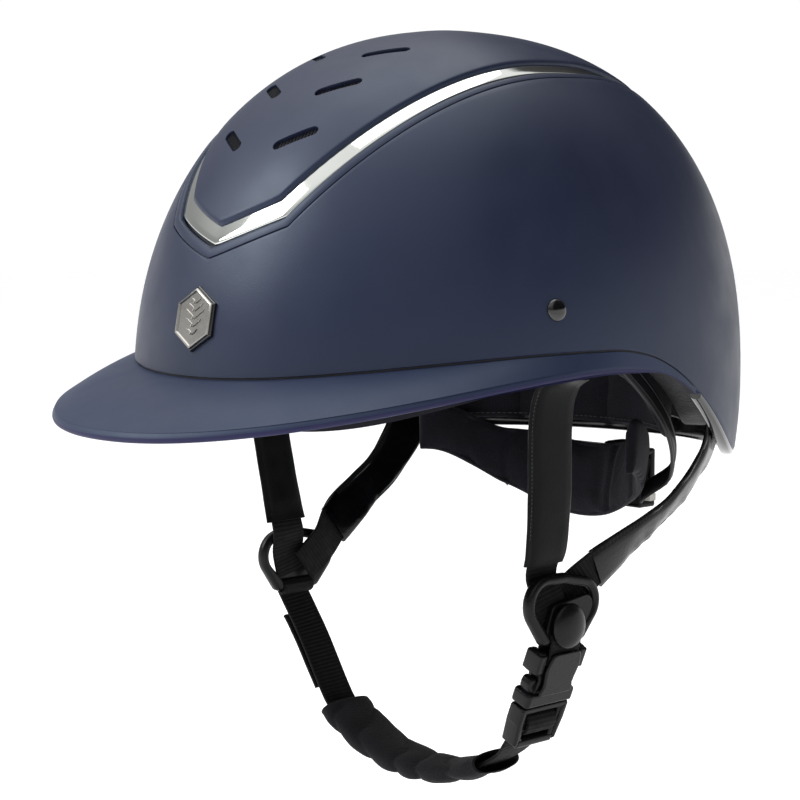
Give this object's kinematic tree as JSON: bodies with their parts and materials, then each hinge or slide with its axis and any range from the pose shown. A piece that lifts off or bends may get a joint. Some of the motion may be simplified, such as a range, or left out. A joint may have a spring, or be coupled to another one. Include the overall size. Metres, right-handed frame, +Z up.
{
  "type": "riding helmet",
  "caption": "Riding helmet with a peaked matt shell, chrome-edged crown panel with vents, padded liner, rear fit cradle with a dial, and a chin harness with a side-release buckle.",
  "frame": {"origin": "middle of the head opening, level with the widest part of the shell", "axes": "+Z up through the crown, -Y the way the wearer faces, +X the wearer's left"},
  "size_m": [0.2088, 0.2919, 0.2955],
  "materials": {
    "shell": "soft-touch matt navy",
    "peak": "soft-touch matt navy, a little bluer",
    "gloss_black": "high gloss black",
    "chrome_trim": "polished chrome",
    "seal": "matt black",
    "badge_metal": "polished gunmetal",
    "soft_plastic": "satin black",
    "foam": "moulded foam with a dark skin",
    "lining": "padded knit, navy black",
    "steel": "zinc plated",
    "gear_plastic": "natural nylon",
    "webbing": "woven polyester webbing",
    "smooth_sleeve": "smooth coated sleeve",
    "buckle_plastic": "satin gloss black",
    "cover_fabric": "ribbed stretch fabric"
  },
  "bodies": {
    "helmet": {"outer_shell": "shell", "crown_panel": "shell", "channel_liner": "gloss_black", "chrome_trim": "chrome_trim", "vent_mesh": "gloss_black", "peak": "peak", "peak_gasket": "seal", "badge_base": "gloss_black", "badge_plate": "badge_metal", "side_pin_left": "soft_plastic", "side_pin_right": "soft_plastic", "rear_rim_trim": "gloss_black", "impact_liner": "foam", "comfort_headband": "lining", "crown_pad": "lining", "strap_anchors": "steel", "temple_pins": "soft_plastic", "front_strap_left": "webbing", "front_strap_right": "webbing", "front_sleeve_left": "smooth_sleeve", "front_sleeve_right": "smooth_sleeve", "rear_strap_left": "webbing", "rear_strap_right": "webbing", "rear_sleeve_left": "smooth_sleeve", "rear_sleeve_right": "smooth_sleeve", "divider_left": "buckle_plastic", "divider_right": "buckle_plastic", "divider_cap_left": "buckle_plastic", "divider_cap_right": "buckle_plastic", "buckle_link": "webbing", "buckle_female": "buckle_plastic"},
    "fit_cradle": {"cradle_arm_left": "soft_plastic", "cradle_arm_right": "soft_plastic", "nape_cradle": "soft_plastic", "nape_pad": "lining", "dial_housing": "soft_plastic"},
    "dial": {"dial_knob": "gloss_black", "dial_pinion": "gear_plastic"},
    "left_rack": {"rack_left": "gear_plastic"},
    "right_rack": {"rack_right": "gear_plastic"},
    "chin_strap": {"chin_webbing": "webbing", "chin_strap_tail": "webbing", "buckle_male": "buckle_plastic"},
    "chin_sleeve": {"chin_cover": "cover_fabric"},
    "front_latch": {"latch_front": "buckle_plastic"},
    "rear_latch": {"latch_rear": "buckle_plastic"}
  },
  "joints": [
    {"name": "cradle_tilt", "type": "hinge", "parent": "helmet", "child": "fit_cradle", "pos_m": [0, 0, 0.022], "axis": [1, 0, 0], "range_deg": [-3.5, 3.5]},
    {"name": "dial_turn", "type": "hinge", "parent": "fit_cradle", "child": "dial", "pos_m": [0, 0.1, -0.046], "axis": [0, 1, 0], "range_deg": [-90, 90]},
    {"name": "left_rack_slide", "type": "slide", "parent": "fit_cradle", "child": "left_rack", "axis": [1, 0, 0], "range_m": [-0.0079, 0.0079]},
    {"name": "right_rack_slide", "type": "slide", "parent": "fit_cradle", "child": "right_rack", "axis": [1, 0, 0], "range_m": [-0.0079, 0.0079]},
    {"name": "chin_strap_swing", "type": "hinge", "parent": "helmet", "child": "chin_strap", "pos_m": [-0.076, -0.012, -0.091], "axis": [0, 1, 0], "range_deg": [0, 75]},
    {"name": "chin_cover_shift", "type": "hinge", "parent": "chin_strap", "child": "chin_sleeve", "pos_m": [0, -0.008, -0.073], "axis": [0, 1, 0], "range_deg": [-3, 3]},
    {"name": "latch_front_squeeze", "type": "hinge", "parent": "chin_strap", "child": "front_latch", "pos_m": [0.0654, -0.0206, -0.11748], "axis": [0.9272, 0, -0.3746], "range_deg": [-6, 0], "stiffness_Nm_per_rad": 0.0002},
    {"name": "latch_rear_squeeze", "type": "hinge", "parent": "chin_strap", "child": "rear_latch", "pos_m": [0.0654, -0.0034, -0.11748], "axis": [0.9272, 0, -0.3746], "range_deg": [0, 6]}
  ],
  "couplings": [
    {"joint": "left_rack_slide", "follows": "dial_turn", "m_per_rad": -0.005},
    {"joint": "right_rack_slide", "follows": "dial_turn", "m_per_rad": 0.005},
    {"joint": "latch_rear_squeeze", "follows": "latch_front_squeeze", "ratio": -1}
  ]
}
